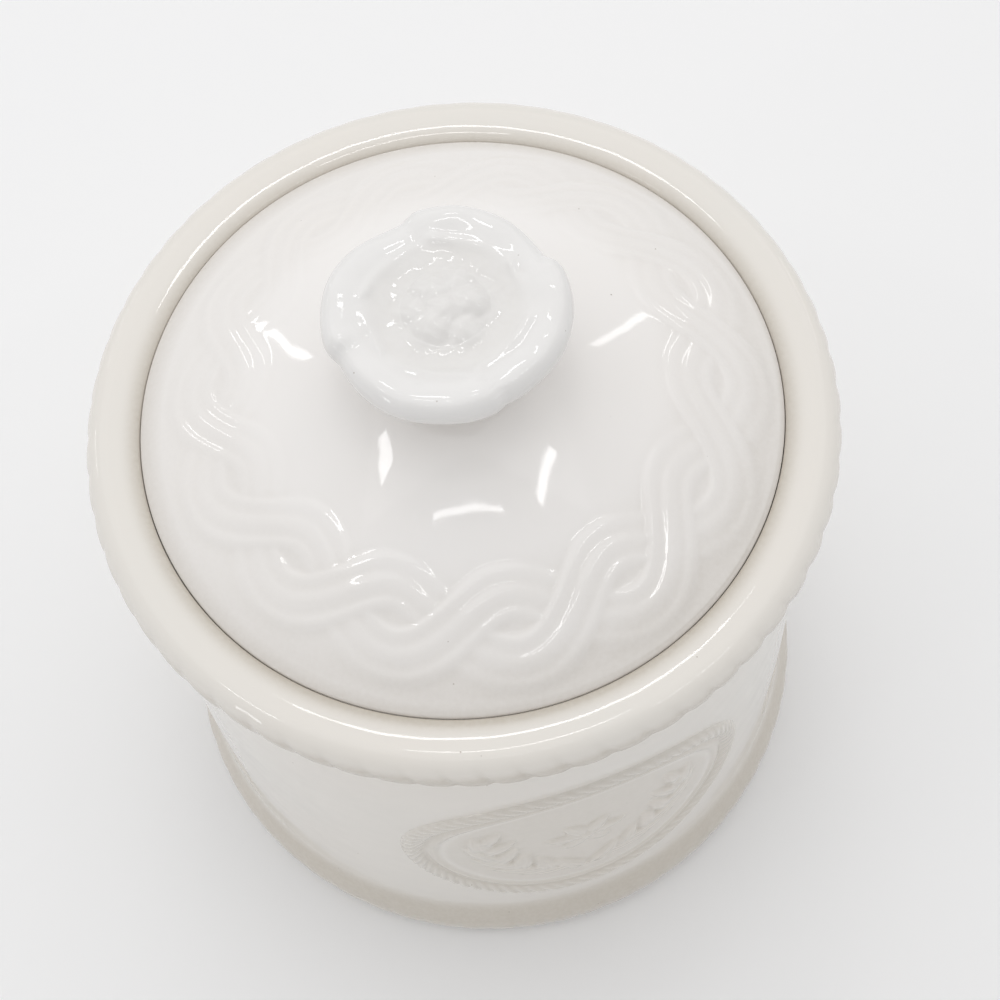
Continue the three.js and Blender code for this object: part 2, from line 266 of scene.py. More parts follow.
def hollowness(relief, rows, columns, depth):
    """How far a relief lies under its own surroundings, from 0 to 1 at the given depth."""
    return np.clip((blurred(relief, rows, columns) - relief) / depth, 0, 1)


def ring_points(radius, angle, height):
    """Points from cylinder coordinates, which may be single values, rows or whole grids."""
    radius, angle, height = np.broadcast_arrays(radius, angle, height)
    return np.stack([radius * np.cos(angle), radius * np.sin(angle), height], axis=-1)


def closed_piece(name, rings, start, end, pool_and_shade, bare=0):
    """A piece from rings of points, in millimetres, closed by a fan to a pole at each end. Faces
    look out where the rings run anticlockwise from above and the outline climbs on its outer side.
    Each mask is one value, or one for each point of the rings, kept as an attribute."""
    count, columns = rings.shape[:2]
    points = np.concatenate([[start], rings.reshape(-1, 3), [end]]) * MM
    here = np.arange(columns)
    after = (here + 1) % columns
    row = 1 + np.arange(count - 1)[:, None] * columns
    quads = np.stack([row + here, row + after, row + columns + after, row + columns + here], -1)
    last = 1 + (count - 1) * columns
    start_fan = np.stack([np.zeros_like(here), 1 + after, 1 + here], -1)
    end_fan = np.stack([last + here, last + after, np.full_like(here, len(points) - 1)], -1)
    mesh = bpy.data.meshes.new(name)
    faces = quads.reshape(-1, 4).tolist() + start_fan.tolist() + end_fan.tolist()
    mesh.from_pydata(points.tolist(), [], faces)
    mesh.polygons.foreach_set("use_smooth", np.ones(len(faces), bool))
    # The pool mask carries pooled glaze and painted shade.
    for mask_name, values in (("pool_and_shade", pool_and_shade), ("bare", bare)):
        values = np.broadcast_to(values, (count, columns)).astype(np.float32)
        flat = np.concatenate([values[0, :1], values.ravel(), values[-1, :1]])
        mesh.attributes.new(mask_name, "FLOAT", "POINT").data.foreach_set("value", flat)
    mesh.update()
    piece = bpy.data.objects.new(name, mesh)
    bpy.context.scene.collection.objects.link(piece)
    return piece


# Jar

def rope_section(low, high, widest, widest_share, soft):
    """A rope band's section, from its foot to its head. It bulges out from the line between them,
    as a quarter round below its widest place and as another above it. A soft band's upper part is
    half a wave instead, which runs smoothly into the wall."""
    share = np.linspace(0, 1, ROPE_ROWS + 2)[1:-1]
    lean = share * np.pi - np.pi / 2
    middle = low[1] + (high[1] - low[1]) * widest_share
    seat = low[0] + (high[0] - low[0]) * share
    span = np.where(lean < 0, middle - low[1], high[1] - middle)
    eased = (lean > 0) & soft
    climb = np.where(eased, lean / (np.pi / 2), np.sin(lean))
    bulge = np.where(eased, np.cos(lean) ** 2, np.cos(lean))
    section = np.stack([seat + (widest - seat) * bulge, middle + climb * span], -1)
    return section, share, lean


def lobe_groove(angle):
    """1 in the groove between two lobes of a rope and 0 on their ridges: a bell of the sine that
    crosses zero at each groove. Slow waves round the ring make some grooves shallower."""
    bell = np.exp(-((np.sin(angle * ROPE_LOBES / 2) / 0.6) ** 2))
    return bell * (0.7 + 0.3 * np.sin(5 * angle + 1.3) * np.sin(3 * angle))


def groove_depth(depth, lean, share, end):
    """How deep the grooves of a band are at each ring: deepest where the band is widest, and gone
    at the given share of its height."""
    return depth * np.cos(lean) ** 0.6 * smooth_step((end - share) / GROOVE_FADE)


def hand_wander(angle):
    """A slow drift of a few tenths of a lobe, as in lobes that were cut by eye."""
    drift = 0.011 * np.sin(3 * angle + 0.7) + 0.008 * np.sin(7 * angle + 2.1)
    return drift + 0.005 * np.sin(11 * angle)


def jar_inside():
    """The outline from the crest of the rim in and down: the rim's inner roll, a quarter ellipse
    that ends at the lid's edge, then the ledge, the throat, the inner wall and the floor."""
    bend = np.linspace(0, np.pi / 2, ROLL_STEPS)
    roll_radius = SEAT_RADIUS + (CREST_RADIUS - CREST_FLAT - SEAT_RADIUS) * (1 - np.sin(bend))
    roll = np.stack([roll_radius, RIM_TOP - (RIM_TOP - SEAT_HEIGHT) * (1 - np.cos(bend))], -1)
    inner = WALL_RADIUS - WALL_THICKNESS
    inside = rounded_outline([
        tuple(roll[-1]),
        (SEAT_RADIUS, LEDGE, 0.4),
        (THROAT_RADIUS, LEDGE, 0.8),
        (THROAT_RADIUS, THROAT_FOOT, 1.5),
        (inner, SHOULDER, 2),
        (inner, FLOOR_TOP, FLOOR_FILLET),
        (POLE_RADIUS, FLOOR_TOP, 0),
    ], spacing=COARSE_SPACING)
    return np.concatenate([[(CREST_RADIUS, RIM_TOP)], roll[:-1], inside])


def jar_pool_and_shade(outline, around, relief):
    """Glaze pools in the grooves, deepened by painted shade, and in the fold under the rim, with
    painted shade under the rim there. A band over the foot is darker. Painted shade lies along the
    rim's outer lower edge and in the well beside the lid, where it is heaviest at the front."""
    out, climb = outline[:, 0], outline[:, 1]
    below_rim = (out > WALL_FOOT_RADIUS - 1) & (climb < COLLAR_FOOT + 9)
    # A darker band over the foot band.
    band = smooth_step((climb - FOOT_HEEL) / 8) * smooth_step((FOOT_BAND_TOP + 1.5 - climb) / 7)
    # Fold under the rim: pooled glaze, and painted shade under the rim's overhang.
    fold = np.exp(-(((climb - COLLAR_FOOT) / 1.8) ** 2))
    # Rim's outer lower side: painted shade where it turns down and away from the light.
    on_edge = (climb > COLLAR_FOOT) * (out > CREST_RADIUS)
    edge = on_edge * smooth_step((RIM_TOP - 2.5 - climb) / 3.5)
    # Well beside the lid: painted shade of the gap, heavier at the front.
    well = (climb > SHOULDER) * smooth_step((CREST_RADIUS - CREST_FLAT - out) / 5.3) ** 2
    wall = below_rim * (FOOT_BAND_DARKENING * band + FOLD_POOL_AND_SHADE * fold)
    outside = np.maximum(wall, RIM_EDGE_SHADE * edge)
    tint = outside[:, None] + well[:, None] * (WELL_SHADE - WELL_SHADE_SWING * np.sin(around))
    # Grooves: pooled glaze, deepened by painted shade.
    hollow = hollowness(relief, rows=3, columns=3, depth=0.9)
    return np.clip(hollow * GROOVE_POOL_AND_SHADE + tint, 0, 1)


def jar_surface():
    """The jar: an outline turned round the axis, with rope grooves sunk in its two bands. From the
    foot up, each band shears the rings along its lay, so that the lobes lie slantwise. The standing
    ring is bare clay."""
    under = rounded_outline([
        (POLE_RADIUS, FOOT_RECESS, 0),
        (FOOT_RECESS_RADIUS, FOOT_RECESS, 1.2),
        (FOOT_RING_INNER, 0, 0.8),
        (FOOT_RING_OUTER, 0, 0.8),
        (WALL_FOOT_RADIUS, FOOT_HEEL, 0),
    ], spacing=COARSE_SPACING)
    foot, foot_share, foot_lean = rope_section(
        (WALL_FOOT_RADIUS, FOOT_HEEL), (WALL_FOOT_RADIUS, FOOT_BAND_TOP),
        FOOT_BAND_RADIUS, FOOT_WIDEST_SHARE, True,
    )
    wall = rounded_outline([
        (WALL_FOOT_RADIUS, FOOT_BAND_TOP, 0),
        (WALL_RADIUS, COLLAR_FOOT, 0),
    ], spacing=7)
    collar, collar_share, collar_lean = rope_section(
        (WALL_RADIUS, COLLAR_FOOT), (CREST_RADIUS, RIM_TOP),
        RIM_RADIUS, COLLAR_WIDEST_SHARE, False,
    )
    inside = jar_inside()
    outline = np.concatenate([under, foot, wall, collar, inside])
    foot_turn = -FOOT_ROPE_LAY / FOOT_BAND_RADIUS
    rim_turn = foot_turn - RIM_ROPE_LAY / RIM_RADIUS
    turn = np.concatenate([
        np.zeros(len(under)),
        foot_share * foot_turn,
        np.full(len(wall), foot_turn),
        foot_turn + collar_share * (rim_turn - foot_turn),
        np.full(len(inside), rim_turn),
    ])
    sink = np.concatenate([
        np.zeros(len(under)),
        groove_depth(FOOT_GROOVE, foot_lean, foot_share, FOOT_GROOVE_END),
        np.zeros(len(wall)),
        groove_depth(RIM_GROOVE, collar_lean, collar_share, RIM_GROOVE_END),
        np.zeros(len(inside)),
    ])
    columns = ROPE_LOBES * LOBE_COLUMNS
    angle = np.arange(columns) / columns * FULL_TURN
    relief = -sink[:, None] * lobe_groove(angle)
    around = angle + hand_wander(angle) + turn[:, None]
    rings = ring_points(outline[:, :1] + relief, around, outline[:, 1:])
    bare = np.zeros((len(outline), 1))
    bare[: len(under), 0] = smooth_step((under[:, 0] - FOOT_RECESS_RADIUS) / 1.5)
    bare[: len(under), 0] *= smooth_step((FOOT_HEEL - under[:, 1]) / FOOT_HEEL)
    pool_and_shade = jar_pool_and_shade(outline, around, relief)
    return closed_piece("jar_shell", rings, (0, 0, FOOT_RECESS), (0, 0, FLOOR_TOP), pool_and_shade, bare)


# Cartouche

# The sprays' leaves: place along and up, length, width and lean, as shares of the field's half
# height but for the lean, which is in degrees. Each one is mirrored on the other side.
LEAF_SHARES = [
    (0.16, -0.62, 0.24, 0.085, 62),
    (0.34, -0.66, 0.25, 0.085, -2),
    (0.36, -0.47, 0.25, 0.085, 78),
    (0.56, -0.52, 0.26, 0.085, 14),
    (0.54, -0.30, 0.25, 0.085, 96),
    (0.74, -0.30, 0.26, 0.085, 36),
    (0.66, -0.08, 0.24, 0.080, 112),
    (0.86, -0.02, 0.25, 0.080, 58),
    (0.70, 0.16, 0.22, 0.075, 126),
    (0.88, 0.26, 0.22, 0.075, 84),
    (0.76, 0.42, 0.20, 0.065, 112),
]
STEM_ALONG_SHARES = (0, 0.22, 0.44, 0.63, 0.76, 0.79, 0.74)
STEM_UP_SHARES = (-0.78, -0.7, -0.56, -0.36, -0.1, 0.16, 0.42)
BLOSSOM_PETALS = 6


def leaf_relief(along, up, place_along, place_up, length, width, lean):
    """A leaf: an ellipse pinched to a point at its far end, crowned across, with a vein sunk along
    its middle line. The height falls as the root of one less the squared distance."""
    lean = np.radians(lean)
    x = (along - place_along) * np.cos(lean) + (up - place_up) * np.sin(lean)
    y = -(along - place_along) * np.sin(lean) + (up - place_up) * np.cos(lean)
    reach = x / length
    breadth = width * (1 - 0.45 * np.clip(reach, -1, 1))
    inside = 1 - reach**2 - (y / breadth) ** 2
    crown = np.sqrt(np.clip(inside, 0, 1))
    return crown - 0.3 * np.exp(-((y / (0.16 * width)) ** 2)) * smooth_step(inside * 4)


def spray_relief(along, up):
    """Two mirrored sprays of leaves on curved stems, with a six-petalled blossom between them. All
    are in shares of the field's half height. The stems are round ridges along a smooth curve."""
    side = np.abs(along)
    relief = np.zeros_like(along)
    for leaf in LEAF_SHARES:
        relief = np.maximum(relief, 0.95 * leaf_relief(side, up, *leaf))
    steps = np.linspace(0, len(STEM_UP_SHARES) - 1, 60)
    knots = np.arange(len(STEM_UP_SHARES))
    stem_along = smooth_curve(steps, knots, STEM_ALONG_SHARES)
    stem_up = smooth_curve(steps, knots, STEM_UP_SHARES)
    nearest = np.full(along.shape, 9.0)
    for a, b in zip(stem_along, stem_up):
        nearest = np.minimum(nearest, np.hypot(side - a, up - b))
    relief = np.maximum(relief, 0.6 * np.sqrt(np.clip(1 - (nearest / 0.028) ** 2, 0, 1)))
    away = np.hypot(along, up - 0.1)
    turn = np.arctan2(up - 0.1, along)
    reach = 0.26 + 0.07 * np.cos(BLOSSOM_PETALS * turn)
    petal = np.sqrt(np.clip(1 - (away / reach) ** 4, 0, 1))
    petal *= 0.75 + 0.25 * np.abs(np.cos(BLOSSOM_PETALS / 2 * turn)) ** 0.5
    heart = 1.15 * np.sqrt(np.clip(1 - (away / 0.085) ** 2, 0, 1))
    return np.maximum(relief, np.maximum(0.8 * petal, heart))


def on_wall(along, up, rise):
    """Points so far along the wall from the cartouche's middle, up from it and out from the wall,
    which leans in a little towards the foot."""
    height = CARTOUCHE_HEIGHT + up
    share = (height - FOOT_BAND_TOP) / (COLLAR_FOOT - FOOT_BAND_TOP)
    wall = WALL_FOOT_RADIUS + (WALL_RADIUS - WALL_FOOT_RADIUS) * share
    return ring_points(wall + rise, CARTOUCHE_TURN + along / WALL_RADIUS, height)


def cartouche_surface():
    """An oval medallion on the wall. Its grid runs round the oval and from its middle to its edge,
    and is wrapped on the wall. Its rise is a rope bead with slanted ticks, a plain bead inside it,
    and the sprays in the field. A few rings behind close it inside the wall. Glaze pools in the
    hollows of the border and the field, deepened by painted shade. The border is darker with pooled
    glaze and painted shade, but lighter on the ticks' crests, and the field is a little darker."""
    columns = BORDER_TICKS * TICK_COLUMNS
    around = np.arange(columns) / columns * FULL_TURN
    reach = np.linspace(CARTOUCHE_MIDDLE_SHARE, 1, CARTOUCHE_ROWS)[:, None]
    along = reach * CARTOUCHE_HALF_WIDTH * np.cos(around)
    up = reach * CARTOUCHE_HALF_HEIGHT * np.sin(around)
    inset = (1 - reach) * ((CARTOUCHE_HALF_WIDTH + CARTOUCHE_HALF_HEIGHT) / 2)
    field = CARTOUCHE_HALF_HEIGHT - BORDER_WIDTH
    slant = (inset - 3) / 24
    tick = smooth_step(0.5 + 0.9 * np.sin((around + slant) * BORDER_TICKS))
    rope = np.sin(np.pi * np.clip(inset / ROPE_WIDTH, 0, 1)) ** 0.9
    inner = np.clip((inset - ROPE_WIDTH - BEAD_GAP) / (BORDER_WIDTH - ROPE_WIDTH - BEAD_GAP), 0, 1)
    bead = BEAD_RISE * np.sin(np.pi * inner) ** 1.4
    drawn = spray_relief(along / field, up / field)
    spray = SPRAY_RISE * blurred(drawn * smooth_step((inset - BORDER_WIDTH - 0.6) / 1.5), 1, 1)
    rise = smooth_max(rope * (1 + TICK_RISE * tick), bead, 0.08)
    rise = smooth_max(rise, spray, 0.06) - 0.05 + 0.12 * smooth_step(inset / 1.5)
    rise = rise - 0.6 * smooth_step((0.5 - inset) / 0.5)
    border = smooth_step(inset / 0.8) * smooth_step((BORDER_WIDTH - inset) / 1.2)
    ground = smooth_step((inset - BORDER_WIDTH) / 2)
    hollow = hollowness(rise, rows=3, columns=3, depth=0.6)
    # Hollows of the border and the field: pooled glaze, deepened by painted shade.
    pool_and_shade = (BORDER_HOLLOW_POOL_AND_SHADE + FIELD_HOLLOW_POOL_AND_SHADE * ground) * hollow
    # Border: pooled glaze and painted shade, lighter on the ticks' crests. The field is a little
    # darker.
    pool_and_shade = pool_and_shade + BORDER_POOL_AND_SHADE * border * (1 - 0.8 * rope * tick) + FIELD_DARKENING * ground
    behind = np.linspace(1, 0.1, CARTOUCHE_BACK_ROWS)[:, None]
    back = on_wall(
        behind * CARTOUCHE_HALF_WIDTH * np.cos(around),
        behind * CARTOUCHE_HALF_HEIGHT * np.sin(around),
        -CARTOUCHE_BACK_DEPTH,
    )
    rings = np.concatenate([on_wall(along, up, rise), back])
    pool_and_shade = np.concatenate([np.clip(pool_and_shade, 0, 1), np.zeros(back.shape[:2])])
    front_pole = on_wall(0, 0, rise[0].mean())
    back_pole = on_wall(0, 0, -CARTOUCHE_BACK_DEPTH)
    return closed_piece("cartouche", rings[:, ::-1], front_pole, back_pole, pool_and_shade[:, ::-1])


# Lid

def dome_height(radius):
    """The dome's height at a radius: a parabola from the border up to the neck, which swells over
    the straight line between them, and a straight fall across the border."""
    low = LID_EDGE_TOP + LID_BORDER_RISE
    run = np.clip((DOME_START - radius) / (DOME_START - NECK_RADIUS), 0, 1)
    border = np.clip((radius - DOME_START) / (LID_RADIUS - DOME_START), 0, 1)
    rise = (lid_high[2] - low) * (run + DOME_SWELL_SHARE * run * (1 - run))
    return low + rise - LID_BORDER_FALL * border


def plait_shift(angle):
    """How far out the whole plait lies in each direction: a cosine, as for a ring off centre."""
    return PLAIT_SHIFT * np.cos(angle - PLAIT_SHIFT_TURN)


def plait_relief(angle, radius):
    """Two ribbed strands whose middle lines swing as a cosine between an inner and an outer circle,
    half a wave apart. Across a strand the height is a broad arch with three ribs, a cosine of three
    waves. It rises where the strand runs inwards and sinks where it runs outwards, so that each
    strand passes over the other in turn. The whole plait drifts a little, as one laid by hand, and
    is fainter towards the knob and away from the front right, as one pressed unevenly."""
    waves = CROSSINGS / 2
    relief = np.zeros(np.broadcast_shapes(angle.shape, radius.shape))
    drawn_in = PLAIT_DRIFT * np.clip(np.cos(angle - PLAIT_DRIFT_TURN), 0, 1) ** 6
    late = PLAIT_LATE_DEGREES * np.sin(angle - PLAIT_LATE_TURN) - PLAIT_EARLY_DEGREES
    for phase in (0, np.pi):
        swing = waves * (angle - PLAIT_TURN - np.radians(late)) + phase
        middle = PLAIT_RADIUS + plait_shift(angle) - drawn_in + PLAIT_SWING * np.cos(swing)
        slope = PLAIT_SWING * waves * np.sin(swing) / PLAIT_RADIUS
        share = np.clip(np.abs(2 * (radius - middle) / np.sqrt(1 + slope**2) / STRAND_WIDTH), 0, 1)
        arch = smooth_step((1 - share) / 0.5) * (1 - 0.12 * share**2)
        rib = 0.5 + 0.5 * np.cos(3 * np.pi * share)
        rise = STRAND_RISE + STRAND_CROSS * np.sin(swing)
        relief = smooth_max(relief, rise * arch * (1 - RIB_DEPTH_SHARE * (1 - rib)), STRAND_BLEND)
    inner_side = PLAIT_RADIUS + plait_shift(angle) - PLAIT_SWING / 2
    worn = smooth_step((inner_side - radius) / PLAIT_SWING)
    pressed = PRESS_MEAN + PRESS_SWING * np.cos(angle - PRESS_TURN)
    return relief * pressed * (1 - INNER_WEAR * worn)


def lid_under():
    """The lid's outline from the crown of its hollow out, down the flange and round the edge, and
    the height of the crown."""
    crown = dome_height(HOLLOW_CROWN_RADIUS) - LID_SHELL
    radius = np.linspace(POLE_RADIUS, FLANGE_INNER - 6, 16)
    height = dome_height(np.maximum(radius, HOLLOW_CROWN_RADIUS)) - LID_SHELL
    hollow = np.stack([radius, np.minimum(height, crown)], -1)
    lower = np.linspace(-np.pi / 2, 0, 7)
    upper = np.linspace(0, LID_EDGE_LEAN, 6)
    lean = np.concatenate([lower, upper])
    middles = (LID_BOTTOM + LID_EDGE_ROUND, LID_EDGE_TOP - LID_EDGE_ROUND)
    middle = np.repeat(middles, (len(lower), len(upper)))
    edge_radius = LID_RADIUS - LID_EDGE_ROUND + LID_EDGE_ROUND * np.cos(lean)
    edge = np.stack([edge_radius, middle + LID_EDGE_ROUND * np.sin(lean)], -1)
    flange = rounded_outline([
        tuple(hollow[-1]),
        (FLANGE_INNER, LID_BOTTOM + 1, 3),
        (FLANGE_INNER - 0.4, lid_low[2], 1),
        (FLANGE_RADIUS - 0.6, lid_low[2], 1),
        (FLANGE_RADIUS, LID_BOTTOM, 0.8),
        tuple(edge[0]),
    ])[1:-1]
    return np.concatenate([hollow, flange, edge]), crown


def lid_pool_and_shade(angle, radius, height, relief, on_top):
    """Glaze pools between the plait's ribs and round the neck, both deepened by painted shade, and
    thinly along the lid's lip; painted shade lies under the lip. The dome is a little darker from
    the plait out, and painted shade darkens the border at the front right."""
    # A little darker from the plait out towards the border.
    outer_dome = smooth_step((radius - PLAIT_RADIUS + PLAIT_SWING + 6) / 10)
    # Painted shade on the border, heaviest at the front right.
    front_shade = smooth_step((radius - DOME_START + 9) / 9)
    front_shade = front_shade * (0.5 + 0.5 * np.cos(angle - PRESS_TURN)) ** 2
    # Hollows of the plait: pooled glaze, deepened by painted shade.
    hollow = hollowness(relief, rows=4, columns=4, depth=0.7)
    pool_and_shade = PLAIT_HOLLOW_POOL_AND_SHADE * hollow + OUTER_DOME_DARKENING * outer_dome
    pool_and_shade = pool_and_shade + FRONT_BORDER_SHADE * front_shade * on_top
    lip = LID_EDGE_TOP - LID_EDGE_ROUND
    # Round the neck: pooled glaze and painted shade in the corner.
    join = NECK_POOL_AND_SHADE * np.exp(-(((radius - NECK_RADIUS) / 2.5) ** 2))
    worn = LID_LIP_POOL * np.exp(-(((radius - LID_RADIUS + 0.4) / 0.5) ** 2))
    pool_and_shade = pool_and_shade + (join + worn) * (height > lip)
    # Under the lid's lip, in the gap: painted shade.
    low_edge = (radius > FLANGE_RADIUS - 1) * smooth_step((lip - height) / 1.5)
    return np.clip(pool_and_shade + LID_UNDER_EDGE_SHADE * low_edge, 0, 1)


def lid_surface():
    """The lid: an outline turned round the axis, from the crown of its hollow out and down the
    flange, round its edge and up the dome, with the plait raised on the dome. The rings of the
    plait shear round evenly with the strands that lie uppermost. The dome has a slow wave, as hand
    work has."""
    under, crown = lid_under()
    plait_reach = PLAIT_SWING + STRAND_WIDTH / 2
    plait_end = PLAIT_RADIUS - (plait_reach + PLAIT_DRIFT)
    plait_radius = np.linspace(PLAIT_RADIUS + plait_reach, plait_end, PLAIT_ROWS)
    dome_radius = np.linspace(plait_end, NECK_RADIUS, 22)[1:]
    top_radius = np.concatenate([plait_radius, dome_radius])
    top = np.stack([top_radius, dome_height(top_radius)], -1)
    outline = np.concatenate([under, top])
    plain = np.zeros(len(under))
    across = np.clip((PLAIT_RADIUS - top_radius) / plait_reach, -1, 1)
    turn = np.concatenate([plain, (1 + across) * np.pi / CROSSINGS])
    columns = CROSSINGS * CROSSING_COLUMNS
    angle = np.arange(columns) / columns * FULL_TURN + turn[:, None]
    follow = np.clip((top_radius - NECK_RADIUS) / (plait_end - NECK_RADIUS), 0, 1)
    radius = outline[:, :1] + np.concatenate([plain, follow])[:, None] * plait_shift(angle)
    on_top = np.concatenate([plain, np.ones(len(top))])[:, None]
    height = np.where(on_top > 0, dome_height(radius), outline[:, 1:])
    relief = plait_relief(angle, radius) * on_top
    wave = 0.12 * np.sin(2 * angle + 0.4) + 0.05 * np.sin(5 * angle + radius / 9)
    wave = wave * on_top * smooth_step((radius - NECK_RADIUS) / 12)
    wave = wave * smooth_step((DOME_START + 1 - radius) / 4)
    rings = ring_points(radius, angle, height + relief + wave)
    pool_and_shade = lid_pool_and_shade(angle, radius, height, relief, on_top)
    return closed_piece("lid_dome", rings, (0, 0, crown), (0, 0, lid_high[2]), pool_and_shade)


# Rosette knob

# Where each outer petal laps over the next one, as shares of a full turn, and the inner ones.
OUTER_EDGE_SHARES = (0.065, 0.292, 0.55, 0.81)
INNER_EDGE_SHARES = (0.02, 0.19, 0.38, 0.52, 0.70, 0.88)
# The knob's outline from the neck out, over the rolled edge and into the dish: shares of its radius
# and of its height above the neck.
KNOB_OUT_SHARES = (
    0.38, 0.42, 0.52, 0.66, 0.80, 0.91, 0.975, 1.0,
    0.985, 0.945, 0.885, 0.80, 0.70, 0.58, 0.46, 0.36,
)
KNOB_UP_SHARES = (
    0.0, 0.02, 0.06, 0.12, 0.20, 0.33, 0.48, 0.62,
    0.74, 0.82, 0.86, 0.855, 0.815, 0.77, 0.74, 0.73,
)
# The bud's lumps: place from its middle, turn in degrees and size. The lengths are shares of its
# radius.
BUD_SHARES = [
    (0.12, 235, 0.56),
    (0.54, 8, 0.56),
    (0.74, 64, 0.46),
    (0.56, 118, 0.6),
    (0.74, 176, 0.48),
    (0.54, 238, 0.58),
    (0.72, 302, 0.5),
]


def petal_place(turn_share, edges):
    """How far along its petal each direction lies: 0 where a petal comes out from under the one
    before it, and 1 at its own upper edge."""
    turn_share = turn_share % 1
    edges = np.asarray(edges)
    starts = np.concatenate([[edges[-1] - 1], edges])
    ends = np.concatenate([edges, [edges[0] + 1]])
    i = np.searchsorted(edges, turn_share, side="right")
    return (turn_share - starts[i]) / (ends[i] - starts[i])


def bud_relief(along, across):
    """A cluster of soft lumps: each falls off as the square of the distance from its middle, and
    they run into one another."""
    relief = np.zeros_like(along)
    for place, turn, size in BUD_SHARES:
        turn = np.radians(turn)
        away = np.hypot(along - place * np.cos(turn), across - place * np.sin(turn))
        lump = np.clip(1 - (away / size) ** 2, 0, 1) ** 1.4 * (0.35 + size)
        relief = smooth_max(relief, lump, 0.12)
    return relief


def dish_swell(along, across, radii):
    """Low swells over the dish in three sizes, the finest of them only about the bud."""
    swell = 0.14 * np.sin(along / 2.9 + 0.8) * np.sin(across / 3.3 + 0.4)
    swell = swell + 0.06 * np.sin((along + across) / 1.7 + 2) * np.sin((along - across) / 2.1)
    near = np.clip(1 - (radii / BUD_RADIUS / 1.6) ** 2, 0, 1)
    fine = 0.1 * near * np.sin(along * 1.7 + 1.2 * np.sin(across))
    return swell + fine * np.sin(across * 1.5 + 0.6)


def knob_surface():
    """The knob: a turned outline whose radius and height follow four lapped petals. Each petal
    comes out from under the one before it, lower and further in, widens along its length and rolls
    over at its rim. An inner whorl and low swells cross the dish, and a bud stands in its middle.
    The whole knob is a little narrower from front to back. Glaze pools in the petals' folds,
    deepened by painted shade, and a little in the dish; painted shade lies on the neck and under
    the petals."""
    base = knob_low[2] + KNOB_NECK_HEIGHT
    head = knob_high[2] - base
    angle = np.arange(KNOB_COLUMNS) / KNOB_COLUMNS * FULL_TURN
    knots = np.arange(len(KNOB_OUT_SHARES))
    steps = np.linspace(0, len(knots) - 1, KNOB_OUTLINE_ROWS)
    out = smooth_curve(steps, knots, KNOB_OUT_SHARES)[:, None]
    up = smooth_curve(steps, knots, KNOB_UP_SHARES)[:, None]
    roll = smooth_step((out - 0.5) / 0.4)
    widest = KNOB_OUT_SHARES.index(max(KNOB_OUT_SHARES))
    on_top = smooth_step((steps[:, None] - widest) / 2.5)
    place = petal_place(angle / FULL_TURN + 0.04 * (1 - out), OUTER_EDGE_SHARES)
    inset = PETAL_INSET * (1 - smooth_step(place / 0.55)) + 0.5 * smooth_step((place - 0.9) / 0.1)
    lap = PETAL_LAP * (smooth_step(place / 0.7) - 1)
    flute = 0.08 * np.sin(13 * angle + 9 * out) + 0.2 * np.sin(5 * angle + 1)
    radius = KNOB_RADIUS * out - blurred(inset, 0, 3) * roll + 0.5 * flute * roll
    inner_place = petal_place(angle / FULL_TURN - 0.12 * out, INNER_EDGE_SHARES)
    lip = np.exp(-(((out - 0.66 + 0.04 * np.sin(np.pi * inner_place)) / 0.05) ** 2))
    whorl = blurred(lip * (0.2 + 0.8 * inner_place), 0, 3)
    height = base + head * up + blurred(lap, 0, 4) * roll + (0.55 * whorl + flute * roll) * on_top
    dish = np.linspace(KNOB_OUT_SHARES[-1], KNOB_MIDDLE_SHARE, KNOB_DISH_ROWS)[:, None]
    dish_height = base + head * KNOB_UP_SHARES[-1] + np.zeros((len(dish), KNOB_COLUMNS))
    neck = rounded_outline([
        (NECK_RADIUS + 2.2, knob_low[2] - KNOB_TUCK, 0),
        (NECK_RADIUS - 0.6, knob_low[2] - 0.1, 1.6),
        (NECK_RADIUS - 1, base, 0),
    ], spacing=0.6)[:-1]
    still = np.zeros((len(neck), KNOB_COLUMNS))
    radii = np.concatenate([neck[:, :1] + still, radius, KNOB_RADIUS * dish + 0 * angle])
    heights = np.concatenate([neck[:, 1:] + still, height, dish_height])
    along, across = radii * np.cos(angle), radii * np.sin(angle)
    top = np.concatenate([still[:, :1], on_top, np.ones_like(dish)])
    swell = dish_swell(along, across, radii)
    bud = bud_relief(along / BUD_RADIUS, across / BUD_RADIUS)
    reach = 1.2 + 0.12 * np.sin(3 * angle + 1) + 0.08 * np.sin(5 * angle + 2)
    mound = np.clip(1 - (radii / BUD_RADIUS / reach) ** 2, 0, 1) ** 2
    heights = heights + top * (swell + BUD_SWELL * mound + BUD_RISE * bud)
    heights = np.minimum(heights, knob_high[2] - 0.02)
    rings = ring_points(radii, angle, heights) * (1, KNOB_DEPTH_SHARE, 1)
    # Petals' folds: pooled glaze, deepened by painted shade.
    pool_and_shade = PETAL_HOLLOW_POOL_AND_SHADE * (hollowness(heights, rows=4, columns=5, depth=1) * top)
    # Neck and petals' undersides: painted shade. The dish: a little pooled glaze.
    skirt = smooth_step((0.6 - up) / 0.5) * (1 - on_top)
    skirt = np.concatenate([np.linspace(0.9, 1, len(neck))[:, None], skirt, np.zeros_like(dish)])
    in_dish = smooth_step((0.75 - radii / KNOB_RADIUS) / 0.2)
    skirt = KNOB_SKIRT_SHADE * skirt + KNOB_DISH_POOL * top * in_dish
    start, end = (0, 0, knob_low[2] - KNOB_TUCK), (0, 0, heights[-1].mean())
    return closed_piece("knob_rosette", rings, start, end, np.clip(pool_and_shade + skirt, 0, 1))


# Glaze

CLAY = (0.60, 0.50, 0.40, 1)
SPECK_COLOUR = (0.30, 0.24, 0.19, 1)
GLAZE_IOR = 1.52
GLAZE_ROUGHNESS = 0.045
CLAY_ADDED_ROUGHNESS = 0.6
RIPPLE_METRES = 0.0003
